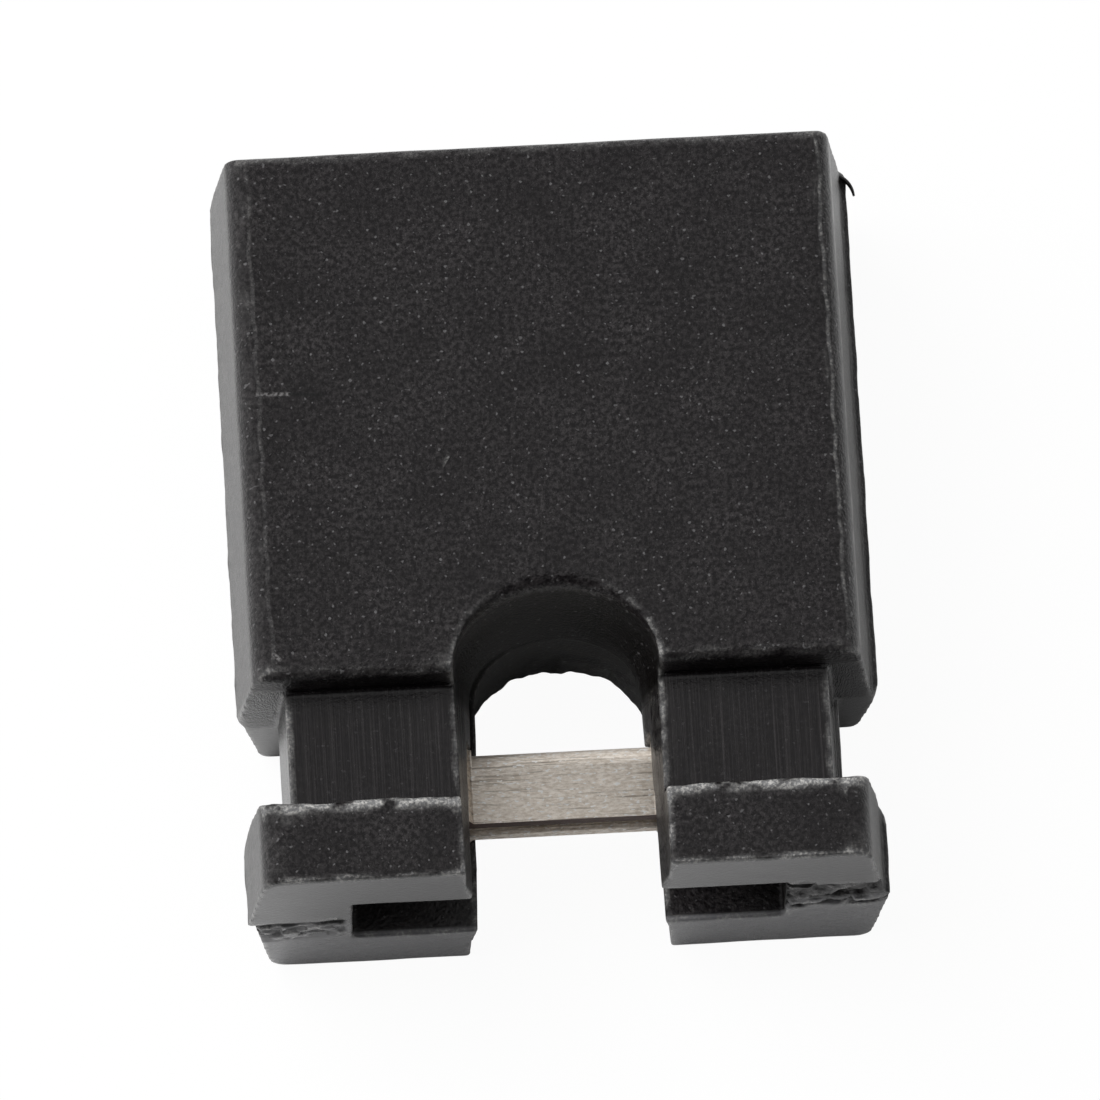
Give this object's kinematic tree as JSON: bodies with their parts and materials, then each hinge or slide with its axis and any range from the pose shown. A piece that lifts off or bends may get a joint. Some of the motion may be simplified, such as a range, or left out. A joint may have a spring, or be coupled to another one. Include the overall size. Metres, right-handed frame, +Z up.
{
  "type": "jumper shunt",
  "caption": "Small moulded jumper shunt with a notched grip end and a folded metal contact that bridges two square posts.",
  "frame": {"origin": "middle of the back face, on the surface that the shunt lies on", "axes": "+X across the two posts, +Y out of the pin-entry end, +Z up through the thickness"},
  "size_m": [0.005, 0.006, 0.0024],
  "materials": {
    "moulded_plastic": "fine matt moulded grain",
    "tin_plate": "rolled phosphor bronze, dull tin plate"
  },
  "bodies": {
    "root": {"housing": "moulded_plastic", "contact": "tin_plate"}
  },
  "joints": []
}
